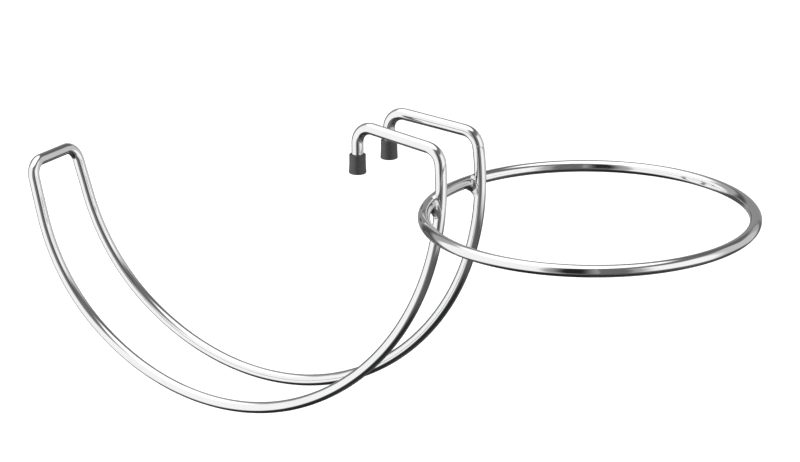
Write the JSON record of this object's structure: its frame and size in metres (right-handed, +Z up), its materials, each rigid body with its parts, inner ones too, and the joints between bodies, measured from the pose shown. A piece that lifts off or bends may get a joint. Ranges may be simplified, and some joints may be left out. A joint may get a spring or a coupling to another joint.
{
  "type": "hanging ring holder",
  "caption": "Bent-rod holder that hooks over a table edge on two capped feet, braces under the table with a half-round cradle, and carries a level round ring outboard.",
  "frame": {"origin": "midway between the two foot caps, in the plane of their undersides, which is the top surface of the table that the holder hooks onto", "axes": "+X from the feet out over the table's edge to the ring, +Y from the front side of the frame to the rear side, +Z up"},
  "size_m": [0.4849, 0.1966, 0.1955],
  "materials": {
    "chromed_rod": "bright chrome plate on round steel rod",
    "plated_weld": "chrome plate over an unground weld bead, slightly uneven",
    "cap_rubber": "matte charcoal moulded rubber"
  },
  "bodies": {
    "root": {"frame_rod": "chromed_rod", "ring": "chromed_rod", "front_weld": "plated_weld", "rear_weld": "plated_weld", "front_foot_cap": "cap_rubber", "rear_foot_cap": "cap_rubber"}
  },
  "joints": []
}
